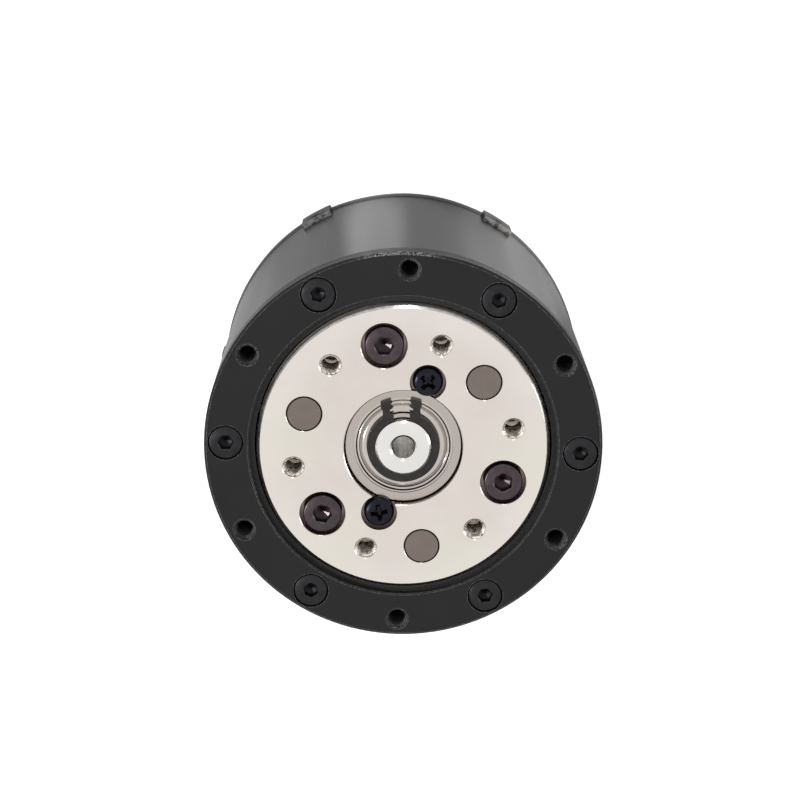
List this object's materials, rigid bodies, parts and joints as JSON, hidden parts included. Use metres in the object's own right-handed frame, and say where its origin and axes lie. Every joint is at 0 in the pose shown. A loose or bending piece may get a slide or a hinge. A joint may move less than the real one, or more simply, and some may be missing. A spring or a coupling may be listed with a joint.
{
  "type": "robot joint actuator",
  "caption": "Round planetary-geared joint motor for a robot arm: black housing, bright output flange with tapped holes and dowel-like planet pins, central shaft, rear power and signal sockets.",
  "frame": {"origin": "centre of the rear face, on the motor axis, at the base of the standing part", "axes": "+Z along the motor axis from the rear cover to the output face; +X through one front cover screw and one rear cover tab"},
  "size_m": [0.0584, 0.0574, 0.048],
  "materials": {
    "black_anodised": "fine satin black anodising",
    "plated_flange": "bright face-turned, warm nickel tone",
    "gear_steel": "ground and hobbed steel",
    "pin_steel": "ground hardened steel, brown-grey",
    "shaft_steel": "ground bright steel",
    "bearing_steel": "polished bearing steel",
    "black_oxide": "black oxide screw steel with a brown cast",
    "black_zinc": "black zinc",
    "spring_steel": "phosphated spring steel",
    "bronze": "sintered bearing bronze",
    "plain_aluminium": "machined, uncoated",
    "rotor_steel": "zinc plated soft steel",
    "magnet": "nickel plated magnet",
    "lamination": "stamped silicon steel stack",
    "copper": "enamelled copper wire",
    "board_green": "green solder mask",
    "chip_black": "moulded chip package",
    "socket_amber": "amber nylon",
    "socket_cream": "cream nylon",
    "gold": "gold plated contact"
  },
  "bodies": {
    "root": {"front_cover": "black_anodised", "cover_screws": "black_oxide", "housing": "black_anodised", "rear_cover": "black_anodised", "rear_cover_screws": "black_oxide", "output_bearing_outer": "bearing_steel", "ring_gear": "gear_steel", "mid_plate": "plain_aluminium", "snap_ring": "spring_steel", "stator_core": "lamination", "stator_windings": "copper", "end_plate": "plain_aluminium", "phase_pins": "copper", "driver_board": "board_green", "board_chips": "chip_black", "board_screws": "black_zinc", "power_socket": "socket_amber", "power_contacts": "gold", "signal_socket": "socket_cream", "signal_contacts": "gold", "carrier_bearing_outer": "bearing_steel", "carrier_bearing_shields": "bearing_steel", "rear_bearing_outer": "bearing_steel", "rear_bearing_shields": "bearing_steel"},
    "output": {"output_flange": "plated_flange", "planet_pins": "pin_steel", "planet_washers": "bronze", "carrier_screws": "black_oxide", "carrier_plate": "gear_steel", "output_bearing_inner": "bearing_steel", "nose_bearing_outer": "bearing_steel", "nose_bearing_shields": "bearing_steel", "bearing_screws": "black_zinc", "carrier_bearing_inner": "bearing_steel"},
    "rotor": {"sun_shaft": "shaft_steel", "rotor_bell": "rotor_steel", "rotor_magnets": "magnet", "nose_bearing_inner": "bearing_steel", "nose_circlip": "spring_steel", "rear_bearing_inner": "bearing_steel", "encoder_magnet": "magnet"},
    "roller_set": {"output_bearing_rollers": "bearing_steel"},
    "nose_ball_set": {"nose_bearing_balls": "bearing_steel"},
    "carrier_ball_set": {"carrier_bearing_balls": "bearing_steel"},
    "rear_ball_set": {"rear_bearing_balls": "bearing_steel"},
    "planet_1": {"planet_gear_1": "gear_steel", "planet_bush_1": "bronze"},
    "planet_2": {"planet_gear_2": "gear_steel", "planet_bush_2": "bronze"},
    "planet_3": {"planet_gear_3": "gear_steel", "planet_bush_3": "bronze"}
  },
  "joints": [
    {"name": "output_spin", "type": "hinge", "parent": "root", "child": "output", "pos_m": [0, 0, 0.041], "axis": [0, 0, 1], "continuous": true},
    {"name": "rotor_spin", "type": "hinge", "parent": "root", "child": "rotor", "pos_m": [0, 0, 0.02], "axis": [0, 0, 1], "continuous": true},
    {"name": "roller_set_spin", "type": "hinge", "parent": "root", "child": "roller_set", "pos_m": [0, 0, 0.041], "axis": [0, 0, 1], "continuous": true},
    {"name": "nose_ball_set_spin", "type": "hinge", "parent": "root", "child": "nose_ball_set", "pos_m": [0, 0, 0.0441], "axis": [0, 0, 1], "continuous": true},
    {"name": "carrier_ball_set_spin", "type": "hinge", "parent": "root", "child": "carrier_ball_set", "pos_m": [0, 0, 0.0275], "axis": [0, 0, 1], "continuous": true},
    {"name": "rear_ball_set_spin", "type": "hinge", "parent": "root", "child": "rear_ball_set", "pos_m": [0, 0, 0.0129], "axis": [0, 0, 1], "continuous": true},
    {"name": "planet_1_spin", "type": "hinge", "parent": "output", "child": "planet_1", "pos_m": [0.01112, 0.01006, 0.0351], "axis": [0, 0, 1], "continuous": true},
    {"name": "planet_2_spin", "type": "hinge", "parent": "output", "child": "planet_2", "pos_m": [-0.01428, 0.0046, 0.0351], "axis": [0, 0, 1], "continuous": true},
    {"name": "planet_3_spin", "type": "hinge", "parent": "output", "child": "planet_3", "pos_m": [0.00315, -0.01466, 0.0351], "axis": [0, 0, 1], "continuous": true}
  ],
  "couplings": [
    {"joint": "rotor_spin", "follows": "output_spin", "ratio": 6},
    {"joint": "roller_set_spin", "follows": "output_spin", "ratio": 0.4815},
    {"joint": "nose_ball_set_spin", "follows": "output_spin", "ratio": 2.96},
    {"joint": "carrier_ball_set_spin", "follows": "output_spin", "ratio": 0.455},
    {"joint": "rear_ball_set_spin", "follows": "output_spin", "ratio": 2.4},
    {"joint": "planet_1_spin", "follows": "output_spin", "ratio": -2.5},
    {"joint": "planet_2_spin", "follows": "output_spin", "ratio": -2.5},
    {"joint": "planet_3_spin", "follows": "output_spin", "ratio": -2.5}
  ]
}
